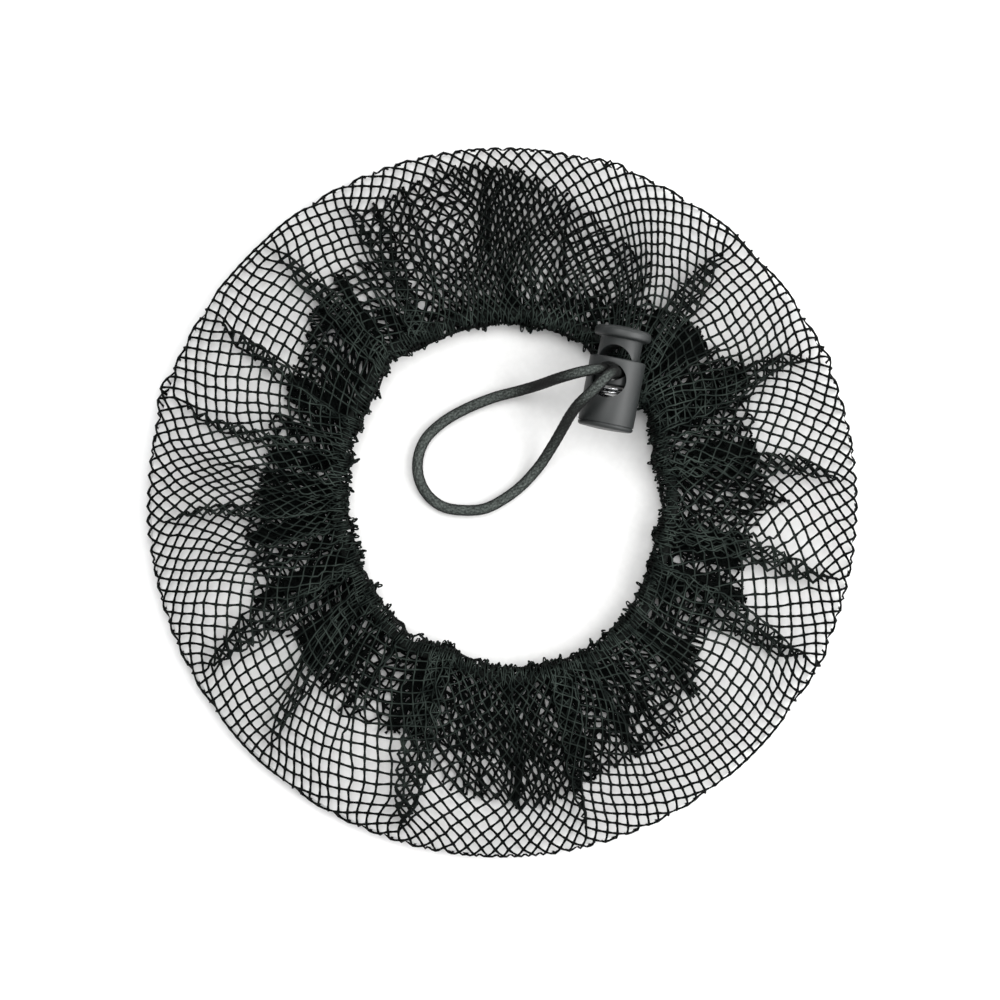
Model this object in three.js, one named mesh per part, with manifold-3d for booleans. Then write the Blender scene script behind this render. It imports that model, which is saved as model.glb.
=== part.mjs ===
// Hair bun net with a drawn cord and a spring cord lock, kept on a round display card.
// Millimetres, +Z up. The origin is the middle of the underside, on the surface it lies on.
//
// The net is one flat round of netting laid over the card, turned up round the card's edge and
// gathered on top by a cord in its turned-in hem. The cord's ends come up through the lock.

import * as THREE from "three";
import { mergeVertices } from "three/addons/utils/BufferGeometryUtils.js";
import Module from "manifold-3d";

const wasm = await Module();
wasm.setup();

// Driving sizes

const clearance = 0.3;

const rimRadius = 77.5;
const rimCorner = 0.9;
const rimRounding = 1.2;
const netWall = 1;
const faceEdgeInset = 3.1;
const facePitch = 19.5;
const faceGap = 11;
const faceGapMargin = 5;

const cardThickness = 2;
const cardInset = 1.7;
const cardSides = 60;

const gatherRadius = 36;
const gatherColumns = 108;
const gapEvery = 4;
const pleatCount = 27;
const pleatRise = 1.3;
const bandPleatShare = 0.8;
const foldRise = 3;
const shoulderRun = 5.5;
const shoulderDrop = 1.1;
const lipDrop = 2.6;
const mouthHalfAngle = 6;
const mouthLipAngle = 11;
const mouthFadeAngle = 3;
const mouthFlattening = 0.85;
const mouthSetBack = 5;
const mouthLift = 0.8;

const cordDiameter = 2.4;
const cordSides = 8;
const cordPlay = 0.25;
const cordGap = 0.2;
const ringPoints = 46;

const lockRadius = 6;
const lockLength = 15.1;
const lockBore = 9.7;
const lockFloor = 1.6;
const lockEdge = 0.6;
const lockSides = 32;
const lockHoleRadius = 3.8;
const lockHoleSides = 24;
const lockLand = 1.1;
const lockHeading = 11;
const lockRoll = 15;
const lockSeatSlack = 0.2;

// How much nearer the middle than gatherRadius the lock's closed end stands, along X and along Y.
const lockInsetX = 14.2;
const lockInsetY = 20.2;

const plungerTravel = 3.8;
const plungerFoot = 1;
const plungerNeck = 4.4;
const flangeRadius = 6.1;
const flangeThickness = 2.2;
const flangeDome = 0.5;

const springWire = 0.5;
const springDiameter = 6.5;
const springCoils = 5;
const springSides = 5;
const springSteps = 8;

// How far the gathered edge stands from the middle, as a share of gatherRadius.
const openingEdge = [
  { at: 0, reach: 0.95 },
  { at: 15, reach: 0.93 },
  { at: 30, reach: 1.0 },
  { at: 60, reach: 1.06 },
  { at: 90, reach: 1.07 },
  { at: 112, reach: 1.04 },
  { at: 128, reach: 1.07 },
  { at: 138, reach: 1.0 },
  { at: 152, reach: 0.96 },
  { at: 180, reach: 0.93 },
  { at: 195, reach: 0.91 },
  { at: 220, reach: 0.93 },
  { at: 235, reach: 0.96 },
  { at: 250, reach: 0.92 },
  { at: 270, reach: 0.98 },
  { at: 300, reach: 1.01 },
  { at: 325, reach: 0.98 },
  { at: 345, reach: 0.93 },
  { at: 360, reach: 0.95 },
];

// The main folds, in the order of the photo's clock. Each runs from its azimuth near the rim to
// its azimuth at the cord; start is a share of the way in, rise a share of foldRise, out how far
// it pushes the rim outwards, as a share of netWall.
const folds = [
  { rim: 24, cord: 29, start: 0, rise: 0.8, width: 4, out: 0.6 },
  { rim: 49, cord: 42, start: 0, rise: 0.8, width: 4, out: 0.5 },
  { rim: 60, cord: 49, start: 0.3, rise: 0.5, width: 3.5, out: 0 },
  { rim: 72, cord: 56, start: 0, rise: 0.8, width: 4.5, out: 0.8 },
  { rim: 87, cord: 83, start: 0.15, rise: 1, width: 6, out: 0 },
  { rim: 117, cord: 118, start: 0, rise: 0.7, width: 4, out: 0 },
  { rim: 132, cord: 132, start: 0.1, rise: 0.8, width: 4.5, out: 0 },
  { rim: 148, cord: 145, start: 0.35, rise: 0.45, width: 4, out: 0 },
  { rim: 162, cord: 161, start: 0, rise: 0.9, width: 5, out: 1.2 },
  { rim: 174, cord: 174, start: 0.35, rise: 0.55, width: 4, out: 0 },
  { rim: 184, cord: 185, start: 0, rise: 0.7, width: 4, out: 0 },
  { rim: 205, cord: 204, start: 0.2, rise: 0.8, width: 4, out: 0 },
  { rim: 226, cord: 222, start: 0.1, rise: 0.85, width: 4.5, out: 0 },
  { rim: 253, cord: 249, start: 0.1, rise: 0.85, width: 4.5, out: 0 },
  { rim: 286, cord: 287, start: 0.35, rise: 0.9, width: 5, out: 0 },
  { rim: 303, cord: 303, start: 0.25, rise: 0.75, width: 3.5, out: 0 },
  { rim: 314, cord: 316, start: 0.15, rise: 0.55, width: 4, out: 0 },
  { rim: 333, cord: 335, start: 0, rise: 0.85, width: 4.5, out: 0.5 },
  { rim: 346, cord: 345, start: 0.35, rise: 0.7, width: 3.5, out: 0 },
  { rim: 354, cord: 361, start: 0.1, rise: 0.85, width: 4, out: 0 },
];

// The cut edge of the turned-in hem: petals and notches, as a share of the way from the gathered
// edge back out to the rim.
const hemEdge = [
  { at: 0, reach: 0.63 },
  { at: 6, reach: 0.5 },
  { at: 12, reach: 0.49 },
  { at: 22, reach: 0.52 },
  { at: 30, reach: 0.6 },
  { at: 38, reach: 0.47 },
  { at: 50, reach: 0.42 },
  { at: 60, reach: 0.6 },
  { at: 70, reach: 0.66 },
  { at: 79, reach: 0.78 },
  { at: 90, reach: 0.88 },
  { at: 99, reach: 0.9 },
  { at: 108, reach: 0.84 },
  { at: 114, reach: 0.8 },
  { at: 118, reach: 0.56 },
  { at: 126, reach: 0.6 },
  { at: 133, reach: 0.55 },
  { at: 140, reach: 0.43 },
  { at: 153, reach: 0.36 },
  { at: 168, reach: 0.33 },
  { at: 180, reach: 0.45 },
  { at: 190, reach: 0.48 },
  { at: 200, reach: 0.56 },
  { at: 211, reach: 0.53 },
  { at: 216, reach: 0.44 },
  { at: 222, reach: 0.49 },
  { at: 242, reach: 0.5 },
  { at: 249, reach: 0.43 },
  { at: 256, reach: 0.58 },
  { at: 264, reach: 0.68 },
  { at: 273, reach: 0.72 },
  { at: 282, reach: 0.7 },
  { at: 290, reach: 0.62 },
  { at: 305, reach: 0.62 },
  { at: 313, reach: 0.54 },
  { at: 324, reach: 0.42 },
  { at: 332, reach: 0.43 },
  { at: 341, reach: 0.48 },
  { at: 350, reach: 0.43 },
  { at: 360, reach: 0.63 },
];

// Stations of the net's upper side, from the rim's top in to the shoulder beside the cord.
// inward is the share of the way in, pleat and fold how much of each shows there.
const skirtStations = [
  { inward: 0, pleat: 0, fold: 0 },
  { inward: 0.1, pleat: 0, fold: 0.1 },
  { inward: 0.2, pleat: 0.02, fold: 0.25 },
  { inward: 0.3, pleat: 0.08, fold: 0.35 },
  { inward: 0.4, pleat: 0.18, fold: 0.45 },
  { inward: 0.5, pleat: 0.3, fold: 0.6 },
  { inward: 0.72, pleat: 0.6, fold: 0.85 },
  { inward: 1, pleat: 0.9, fold: 1 },
];
const gapRows = [
  { station: 5, shift: 1 },
  { station: 7, shift: 3 },
];

// The free loop of cord, seen from above, from the lock's hole round and back to it.
const loopRoute = [
  { x: 20.3, y: 28.2, z: 23.1 },
  { x: 18.4, y: 27.9, z: 24.5 },
  { x: 16, y: 27.4, z: 24.6 },
  { x: 13.6, y: 26.8, z: 22.9 },
  { x: 11.3, y: 26.2, z: 19.4 },
  { x: 9.2, y: 25.6, z: 14.6 },
  { x: 6.6, y: 24.9, z: 9.4 },
  { x: 3, y: 24, z: 5.8 },
  { x: -1.7, y: 22.8, z: 4.6 },
  { x: -7.9, y: 20.3, z: 4.6 },
  { x: -12.9, y: 17.4, z: 4.6 },
  { x: -16.7, y: 13.7, z: 4.6 },
  { x: -18.3, y: 9.5, z: 4.6 },
  { x: -18.1, y: 5.3, z: 4.6 },
  { x: -16.2, y: 1.6, z: 4.6 },
  { x: -12.9, y: -0.9, z: 4.6 },
  { x: -8.3, y: -1.7, z: 4.6 },
  { x: -3.8, y: -1.3, z: 4.6 },
  { x: 0.4, y: 0.8, z: 4.6 },
  { x: 4.2, y: 3.7, z: 4.6 },
  { x: 7.9, y: 7.8, z: 5.6 },
  { x: 10.6, y: 11.9, z: 8.6 },
  { x: 12.9, y: 15.9, z: 13.4 },
  { x: 14.3, y: 18.4, z: 18 },
  { x: 15.8, y: 20.5, z: 22 },
  { x: 17.4, y: 22.1, z: 24.6 },
  { x: 19, y: 23.6, z: 25.7 },
  { x: 20.6, y: 25.2, z: 25.8 },
  { x: 22.1, y: 26.7, z: 24.9 },
];

// Heights and radii that follow from the driving sizes

const cordRadius = cordDiameter / 2;
const cardBottom = netWall + clearance;
const cardTop = cardBottom + cardThickness;
const hemMiddle = cardTop + clearance + netWall / 2;
const bandHeight = hemMiddle + netWall + clearance;
const cordHeight = hemMiddle + netWall / 2 + clearance + cordRadius;
const gatherHeight = cordHeight + cordRadius + clearance + netWall / 2;
const cordSetBack = netWall + clearance + cordRadius + cordPlay;
const lockHeight = gatherHeight + netWall / 2 + clearance + flangeRadius;
const lockHoleAt = lockLength - lockLand - lockHoleRadius;

const material = (color, roughness, metalness = 0) =>
  new THREE.MeshStandardMaterial({ color, roughness, metalness });

const netCloth = () => material(0x14201c, 0.85);
const cordCloth = () => material(0x4b544f, 0.8);
const lockPlastic = () => material(0x2a2e30, 0.4);

function radians(degrees) {
  return (degrees * Math.PI) / 180;
}

function wrapped(degrees) {
  return ((degrees % 360) + 540) % 360 - 180;
}

function smooth(from, to, value) {
  return THREE.MathUtils.smoothstep(value, from, to);
}

function place(polar, azimuth) {
  const angle = radians(azimuth);
  return [polar.radius * Math.cos(angle), polar.radius * Math.sin(angle), polar.height];
}

function reachAt(table, azimuth) {
  const at = ((azimuth % 360) + 360) % 360;
  const next = table.findIndex((row) => row.at >= at);
  if (next <= 0) return table[0].reach;
  const before = table[next - 1];
  const share = (at - before.at) / (table[next].at - before.at);
  return THREE.MathUtils.lerp(before.reach, table[next].reach, share);
}

// The cord lock's own directions: along its plunger, through its cross hole, and across both.

const lockAxis = new THREE.Vector3(Math.sin(radians(lockHeading)), Math.cos(radians(lockHeading)), 0);
const lockSide = new THREE.Vector3(lockAxis.y, -lockAxis.x, 0);
const lockHoleUp = new THREE.Vector3(0, 0, Math.cos(radians(lockRoll)));
lockHoleUp.addScaledVector(lockSide, -Math.sin(radians(lockRoll)));
const lockAcross = new THREE.Vector3().crossVectors(lockHoleUp, lockAxis);
const lockBottom = new THREE.Vector3(gatherRadius - lockInsetX, gatherRadius - lockInsetY, lockHeight);

function inLock(across, up, along) {
  return lockBottom
    .clone()
    .addScaledVector(lockAcross, across)
    .addScaledVector(lockHoleUp, up)
    .addScaledVector(lockAxis, along);
}

// The highest that the middle of the net may lie at a place under the cord lock.
function ceilingUnderLock(x, y) {
  const away = new THREE.Vector3(x - lockBottom.x, y - lockBottom.y, 0);
  const along = away.dot(lockAxis);
  const aside = away.dot(lockSide);
  const keep = flangeRadius + clearance + netWall / 2 + lockSeatSlack;
  const end = lockLength + plungerNeck + flangeThickness + flangeDome + keep - flangeRadius;
  if (along < flangeRadius - keep || along > end || Math.abs(aside) > keep) return Infinity;
  return lockHeight - Math.sqrt(keep * keep - aside * aside);
}

// The mouth where the cord's two ends leave the hem is under the lock's hole.
const lockHoleCentre = inLock(0, 0, lockHoleAt);
const mouthAzimuth = THREE.MathUtils.radToDeg(Math.atan2(lockHoleCentre.y, lockHoleCentre.x));

// How open the mouth is at an azimuth, from 0 to 1.
function mouthAt(azimuth, halfAngle) {
  return 1 - smooth(halfAngle, halfAngle + mouthFadeAngle, Math.abs(wrapped(azimuth - mouthAzimuth)));
}

function gatherEdge(azimuth) {
  return gatherRadius * reachAt(openingEdge, azimuth);
}

// The gathered edge with the mouth set back from the lock.
function mouthEdge(azimuth) {
  return gatherEdge(azimuth) + mouthSetBack * mouthAt(azimuth, mouthHalfAngle);
}

function pleatAt(azimuth) {
  return 0.5 + 0.5 * Math.cos(radians(azimuth * pleatCount));
}

function foldAt(azimuth, inward) {
  let rise = 0;
  for (const fold of folds) {
    const along = smooth(fold.start - 0.12, fold.start + 0.35, inward);
    const middle = THREE.MathUtils.lerp(fold.rim, fold.cord, inward);
    const away = wrapped(azimuth - middle) / fold.width;
    rise = Math.max(rise, fold.rise * along * Math.exp(-away * away));
  }
  return rise;
}

function rimPush(azimuth) {
  let push = 0;
  for (const fold of folds) {
    const away = wrapped(azimuth - fold.rim) / fold.width;
    push += fold.out * netWall * Math.exp(-away * away * 1.5);
  }
  return Math.abs(azimuth % 90) < 0.01 ? 0 : push;
}

// The middle line of the skirt at one azimuth, as pairs of radius and height.
function skirtProfile(azimuth) {
  const edge = mouthEdge(azimuth);
  const lip = 1 - mouthFlattening * mouthAt(azimuth, mouthLipAngle);
  const push = rimPush(azimuth);
  const line = [
    { radius: rimRadius - faceEdgeInset, height: netWall / 2 },
    { radius: rimRadius - rimCorner + push * 0.5, height: netWall / 2 + 0.1 },
    { radius: rimRadius - netWall / 2 + push, height: cardBottom + cardThickness / 2 },
  ];
  const rimTop = rimRadius - rimRounding + push * 0.8;
  const shoulder = edge + shoulderRun;
  for (const station of skirtStations) {
    const rolled = smooth(0, 0.1, station.inward);
    const flat = THREE.MathUtils.lerp(cardTop + netWall + 0.1, bandHeight, rolled);
    const drawn = (gatherHeight - shoulderDrop - bandHeight) * smooth(0.5, 1, station.inward);
    const ruffle = bandPleatShare * pleatRise * station.pleat * pleatAt(azimuth);
    const fold = foldRise * station.fold * foldAt(azimuth, station.inward);
    line.push({
      radius: THREE.MathUtils.lerp(rimTop, shoulder, station.inward),
      height: flat + drawn + ruffle + fold,
    });
  }
  const crest = gatherHeight
    + pleatRise * pleatAt(azimuth) * lip
    + foldRise * foldAt(azimuth, 1)
    + mouthLift * mouthAt(azimuth, mouthLipAngle);
  line.push({ radius: edge + cordSetBack, height: crest });
  line.push({ radius: edge + netWall * 0.9, height: crest - lipDrop * 0.35 * lip });
  line.push({ radius: edge + netWall / 2, height: crest - lipDrop * lip });
  for (const point of line) {
    const x = point.radius * Math.cos(radians(azimuth));
    const y = point.radius * Math.sin(radians(azimuth));
    point.height = Math.min(point.height, ceilingUnderLock(x, y));
  }
  return line;
}

// Both sides of a wall along a middle line, half a wall to each side of it.
function wallSides(line, wall) {
  return line.map((point, index) => {
    const before = line[Math.max(index - 1, 0)];
    const after = line[Math.min(index + 1, line.length - 1)];
    const run = new THREE.Vector2(after.radius - before.radius, after.height - before.height);
    run.normalize().multiplyScalar(wall / 2);
    return {
      outer: { radius: point.radius + run.y, height: point.height - run.x },
      inner: { radius: point.radius - run.y, height: point.height + run.x },
    };
  });
}

// A closed wall from a ring of columns. Every triangle is made twice, once for each side, and each
// edge that is left open, at the ends and round the gaps, gets a strip between the two sides.
function ringWall(columns, gaps) {
  const stations = columns[0].sides.length;
  const positions = [];
  const vertex = (column, station, side) =>
    2 * ((column % columns.length) * stations + station) + side;
  for (const { azimuth, sides } of columns) {
    for (const { outer, inner } of sides) {
      positions.push(...place(outer, azimuth), ...place(inner, azimuth));
    }
  }
  const isGap = (column, station) =>
    gaps.some((row) => row.station === station && (column - row.shift) % gapEvery === 0);
  const triangles = [];
  for (let column = 0; column < columns.length; column += 1) {
    for (let station = 0; station < stations - 1; station += 1) {
      const even = (column + station) % 2 === 0;
      const corners = [
        [column, station],
        [column + 1, station],
        [column + 1, station + 1],
        [column, station + 1],
      ];
      const first = even ? 1 : 0;
      const pick = (k) => corners[(first + k) % 4];
      triangles.push([pick(0), pick(1), pick(2)], [pick(0), pick(2), pick(3)]);
    }
  }
  const kept = triangles.filter(
    (triangle) => !triangle.some(([column, station]) => isGap(column % columns.length, station)),
  );
  const key = ([column, station]) => (column % columns.length) * stations + station;
  const edges = new Set();
  for (const triangle of kept) {
    triangle.forEach((from, k) => edges.add(`${key(from)}>${key(triangle[(k + 1) % 3])}`));
  }
  const index = [];
  for (const [a, b, c] of kept) {
    index.push(vertex(...a, 0), vertex(...b, 0), vertex(...c, 0));
    index.push(vertex(...a, 1), vertex(...c, 1), vertex(...b, 1));
    for (const [from, to] of [[a, b], [b, c], [c, a]]) {
      if (edges.has(`${key(to)}>${key(from)}`)) continue;
      index.push(vertex(...to, 0), vertex(...from, 0), vertex(...from, 1));
      index.push(vertex(...to, 0), vertex(...from, 1), vertex(...to, 1));
    }
  }
  return usedOnly(positions, index);
}

function usedOnly(positions, index) {
  const renumbered = new Map();
  const kept = [];
  const triangles = index.map((old) => {
    if (!renumbered.has(old)) {
      renumbered.set(old, renumbered.size);
      kept.push(...positions.slice(3 * old, 3 * old + 3));
    }
    return renumbered.get(old);
  });
  const geometry = new THREE.BufferGeometry();
  geometry.setAttribute("position", new THREE.Float32BufferAttribute(kept, 3));
  geometry.setIndex(triangles);
  return geometry;
}

function ringColumns(lineAt) {
  return Array.from({ length: gatherColumns }, (_, column) => {
    const azimuth = (360 / gatherColumns) * column;
    return { azimuth, sides: wallSides(lineAt(azimuth), netWall) };
  });
}

// Solid cutting and joining

function welded(geometry) {
  const plain = geometry.clone();
  plain.deleteAttribute("normal");
  plain.deleteAttribute("uv");
  return mergeVertices(plain, 1e-4);
}

function toSolid(geometry) {
  const plain = welded(geometry);
  return new wasm.Manifold(new wasm.Mesh({
    numProp: 3,
    vertProperties: new Float32Array(plain.attributes.position.array),
    triVerts: new Uint32Array(plain.index.array),
  }));
}

function fromSolid(solid) {
  const mesh = solid.getMesh();
  const geometry = new THREE.BufferGeometry();
  geometry.setAttribute("position", new THREE.Float32BufferAttribute(mesh.vertProperties, 3));
  geometry.setIndex(Array.from(mesh.triVerts));
  return geometry;
}

// A turned solid about +Z from pairs of radius and height.
function turned(profile, segments) {
  const points = profile.map(([radius, height]) => new THREE.Vector2(radius, height));
  return new THREE.LatheGeometry([...points, points[0]], segments).rotateX(Math.PI / 2);
}

function roundSection(radius, sides) {
  const corners = Array.from({ length: sides }, (_, k) => {
    const angle = (2 * Math.PI * (k + 0.5)) / sides;
    return new THREE.Vector2(radius * Math.cos(angle), radius * Math.sin(angle));
  });
  return new THREE.Shape(corners);
}

function tube(path, radius, sides, steps) {
  return new THREE.ExtrudeGeometry(roundSection(radius, sides), { extrudePath: path, steps });
}

// A cord's centre line whose steps keep to its chosen points, closer where it bends more.
class CordLine extends THREE.CatmullRomCurve3 {
  constructor(points) {
    super(points, false, "centripetal");
  }

  getUtoTmapping(share) {
    return share;
  }
}

function cord(name, points, stepsEach) {
  const path = new CordLine(points);
  const steps = (points.length - 1) * stepsEach;
  return piece(name, tube(path, cordRadius, cordSides, steps), cordCloth());
}

function piece(name, geometry, finish) {
  const plain = welded(geometry);
  plain.computeVertexNormals();
  const mesh = new THREE.Mesh(plain, finish);
  mesh.name = name;
  return mesh;
}

// The flat face under the card, cut through in rows of gaps set on the net's slant.
function netFace() {
  const radius = rimRadius - faceEdgeInset - clearance;
  const outline = new THREE.Shape();
  outline.absarc(0, 0, radius, 0, 2 * Math.PI, false);
  const half = faceGap / Math.SQRT2;
  const reach = radius - faceGapMargin - half;
  const rows = Math.ceil(reach / facePitch);
  for (let row = -rows; row < rows; row += 1) {
    for (let step = -rows; step < rows; step += 1) {
      const slantX = ((row + step + 1) * facePitch) / Math.SQRT2;
      const slantY = ((row - step) * facePitch) / Math.SQRT2;
      if (Math.hypot(slantX, slantY) > reach) continue;
      const gap = new THREE.Path();
      gap.moveTo(slantX + half, slantY);
      gap.lineTo(slantX, slantY - half);
      gap.lineTo(slantX - half, slantY);
      gap.lineTo(slantX, slantY + half);
      gap.closePath();
      outline.holes.push(gap);
    }
  }
  const face = new THREE.ExtrudeGeometry(outline, {
    depth: netWall,
    bevelEnabled: false,
    curveSegments: cardSides,
  });
  return piece("net_face", face, netCloth());
}

function displayCard() {
  const radius = rimRadius - cardInset;
  const card = new THREE.CylinderGeometry(radius, radius, cardThickness, cardSides);
  card.rotateX(Math.PI / 2).translate(0, 0, (cardBottom + cardTop) / 2);
  return piece("display_card", card, material(0xf4f4f2, 0.9));
}

function netSkirt() {
  return piece("net_skirt", ringWall(ringColumns(skirtProfile), gapRows), netCloth());
}

function hemLine(azimuth) {
  const inner = mouthEdge(azimuth) + netWall / 2;
  const outer = THREE.MathUtils.lerp(gatherEdge(azimuth), rimRadius, reachAt(hemEdge, azimuth));
  return [outer, inner].map((radius) => ({ radius, height: hemMiddle }));
}

function netHem() {
  return piece("net_hem", ringWall(ringColumns(hemLine), []), netCloth());
}

// The two ends of cord stand side by side in the lock's hole, pinched to its upper edge.

const cordAlong = lockHoleAt + plungerTravel / 2;
const cordAside = cordRadius + cordGap / 2;
const holeMouth = Math.sqrt(lockRadius ** 2 - cordAside ** 2);

function cordTail(side) {
  const below = -lockRadius - cordRadius;
  return [holeMouth - clearance, 2, -2, -4.5, -6, below].map((up) =>
    inLock(side * cordAside, up, cordAlong),
  );
}

// The drawn cord: down through the lock, once round the opening inside the hem, and up again.
function gatherCord() {
  const from = mouthAzimuth - mouthHalfAngle - 2;
  const to = mouthAzimuth + mouthHalfAngle + 3 - 360;
  const points = cordTail(-1);
  for (let k = 0; k <= ringPoints; k += 1) {
    const azimuth = THREE.MathUtils.lerp(from, to, k / ringPoints);
    const radius = gatherEdge(azimuth) + cordSetBack;
    points.push(new THREE.Vector3(...place({ radius, height: cordHeight }, azimuth)));
  }
  points.push(...cordTail(1).reverse());
  return cord("gather_cord", points, 1);
}

// The free loop: out of the lock's hole, round on the card and back into the hole.
function cordLoop() {
  const mouthPoints = (side) =>
    [holeMouth, holeMouth + 1].map((up) => inLock(side, up, cordAlong));
  const points = [
    ...mouthPoints(cordAside),
    ...loopRoute.map(({ x, y, z }) => new THREE.Vector3(x, y, z)),
    ...mouthPoints(-cordAside).reverse(),
  ];
  return cord("cord_loop", points, 2);
}

// The cord lock, made upright along +Z with its cross hole along +Y, then laid down.

function crossHole(along) {
  const length = 4 * lockRadius;
  return toSolid(new THREE.CylinderGeometry(lockHoleRadius, lockHoleRadius, length, lockHoleSides)
    .translate(0, 0, along));
}

function toggleBarrel() {
  const bore = lockBore / 2;
  const wall = turned([
    [0, -0.3],
    [lockRadius - lockEdge * 2, 0],
    [lockRadius, lockEdge],
    [lockRadius, lockLength - lockEdge / 2],
    [lockRadius - lockEdge / 2, lockLength],
    [bore + lockEdge / 4, lockLength],
    [bore, lockLength - lockEdge / 4],
    [bore, lockFloor],
    [0, lockFloor],
  ], lockSides);
  const barrel = toSolid(wall).subtract(crossHole(lockHoleAt));
  return piece("toggle_barrel", fromSolid(barrel), lockPlastic());
}

function togglePlunger() {
  const shaft = lockBore / 2 - clearance;
  const holeAt = lockHoleAt + plungerTravel;
  const foot = holeAt - lockHoleRadius - plungerFoot;
  const flange = lockLength + plungerNeck;
  const top = flange + flangeThickness;
  const rod = turned([
    [0, foot],
    [shaft, foot],
    [shaft, flange],
    [flangeRadius - lockEdge / 2, flange],
    [flangeRadius, flange + lockEdge / 2],
    [flangeRadius, top - lockEdge],
    [flangeRadius - lockEdge, top],
    [flangeRadius / 2, top + flangeDome * 0.8],
    [0, top + flangeDome],
  ], lockSides);
  const plunger = toSolid(rod).subtract(crossHole(holeAt));
  return piece("toggle_plunger", fromSolid(plunger), lockPlastic());
}

class Helix extends THREE.Curve {
  constructor(radius, from, to, turns) {
    super();
    Object.assign(this, { radius, from, to, turns });
  }

  getPoint(share, target = new THREE.Vector3()) {
    const angle = 2 * Math.PI * this.turns * share;
    const height = THREE.MathUtils.lerp(this.from, this.to, share);
    return target.set(this.radius * Math.cos(angle), this.radius * Math.sin(angle), height);
  }
}

function toggleSpring() {
  const seat = lockHoleAt + plungerTravel - lockHoleRadius - plungerFoot;
  const from = lockFloor + clearance + springWire / 2;
  const to = seat - clearance - springWire / 2;
  const path = new Helix(springDiameter / 2, from, to, springCoils);
  const coil = tube(path, springWire / 2, springSides, springCoils * springSteps);
  return piece("toggle_spring", coil, material(0xb9bcbd, 0.3, 1));
}

function cordLock() {
  const lock = new THREE.Group();
  const turn = new THREE.Matrix4().makeBasis(lockAcross, lockHoleUp, lockAxis);
  lock.setRotationFromMatrix(turn);
  lock.position.copy(lockBottom);
  lock.add(toggleBarrel(), togglePlunger(), toggleSpring());
  return lock;
}

const bunNet = new THREE.Group();
bunNet.name = "hair_bun_net_on_card";
bunNet.add(netFace(), displayCard(), netHem(), gatherCord(), netSkirt(), cordLock(), cordLoop());

export default bunNet;
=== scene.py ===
import math

import bpy
import numpy as np
from mathutils import Matrix, Vector


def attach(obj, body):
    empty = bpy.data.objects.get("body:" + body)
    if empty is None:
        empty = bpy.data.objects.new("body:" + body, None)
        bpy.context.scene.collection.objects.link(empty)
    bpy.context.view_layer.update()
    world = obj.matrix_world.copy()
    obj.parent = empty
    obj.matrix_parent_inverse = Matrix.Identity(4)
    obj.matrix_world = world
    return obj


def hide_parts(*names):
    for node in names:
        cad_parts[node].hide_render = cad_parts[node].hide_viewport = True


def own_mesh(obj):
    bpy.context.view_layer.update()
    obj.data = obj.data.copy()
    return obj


# A black hair bun net kept over a round white card, with its cord, loop and cord lock, seen from
# straight above. Lengths in the dictionaries are in millimetres unless a note says otherwise.

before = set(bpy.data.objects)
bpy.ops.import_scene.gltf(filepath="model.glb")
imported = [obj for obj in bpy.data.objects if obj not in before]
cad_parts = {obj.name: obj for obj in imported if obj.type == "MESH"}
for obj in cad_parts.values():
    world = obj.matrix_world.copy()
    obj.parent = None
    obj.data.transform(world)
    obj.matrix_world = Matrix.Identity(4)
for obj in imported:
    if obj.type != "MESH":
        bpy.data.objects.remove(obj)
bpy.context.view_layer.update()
print("frame loaded:", ", ".join(sorted(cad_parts)))

mm = 0.001
chance = np.random.default_rng(41)


def meshPiece(name, points, faces, body="net_on_card", smooth=True):
    # points in millimetres, faces as lists or arrays of vertex numbers
    data = bpy.data.meshes.new(name)
    data.from_pydata((np.asarray(points) * mm).tolist(), [], [list(map(int, f)) for f in faces])
    data.validate()
    data.polygons.foreach_set("use_smooth", [smooth] * len(data.polygons))
    data.update()
    piece = bpy.data.objects.new(name, data)
    bpy.context.scene.collection.objects.link(piece)
    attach(piece, body)
    return piece


def addFloat(piece, name, values):
    layer = piece.data.attributes.new(name, "FLOAT", "POINT")
    layer.data.foreach_set("value", np.asarray(values, dtype=np.float32))


def smoothStep(low, high, value):
    t = np.clip((value - low) / (high - low), 0, 1)
    return t * t * (3 - 2 * t)


def crossWaves(count, rounds, depth):
    # random ripples over the gathered net: waves round the net, waves along its radius, phase
    return list(zip(
        chance.integers(rounds[0], rounds[1], count),
        chance.uniform(-depth, depth, count),
        chance.uniform(0, 2 * np.pi, count),
    ))


def rippled(waves, rho, azimuth):
    total = sum(np.sin(np.radians(n * azimuth) + k * rho + phase) for n, k, phase in waves)
    return total / math.sqrt(len(waves) / 2)


def wrapped(degrees):
    return (np.asarray(degrees) + 180) % 360 - 180


def round360(table, azimuth):
    # a table of (azimuth, value) pairs, read all round
    at = np.array([row[0] for row in table], float)
    value = np.array([row[1] for row in table], float)
    return np.interp(np.asarray(azimuth) % 360, at, value, period=360)


# Camera: straight down, as in the photo

photoView = {
    "height": 700,
    "middle": (-0.54, 0.54),
    "frameWidth": 217.4,   # what the picture takes in at the rim
    "rimHeight": 2.3,
    "sensor": 36,
}


def makeCamera():
    data = bpy.data.cameras.new("photoCamera")
    data.sensor_width = photoView["sensor"]
    reach = photoView["height"] - photoView["rimHeight"]
    data.lens = photoView["sensor"] * reach / photoView["frameWidth"]
    camera = bpy.data.objects.new("photoCamera", data)
    camera.location = Vector((*photoView["middle"], photoView["height"])) * mm
    bpy.context.scene.collection.objects.link(camera)
    bpy.context.scene.camera = camera


makeCamera()


# The cord lock's place: its closed end, the way its plunger points, and how far its hole leans

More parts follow.
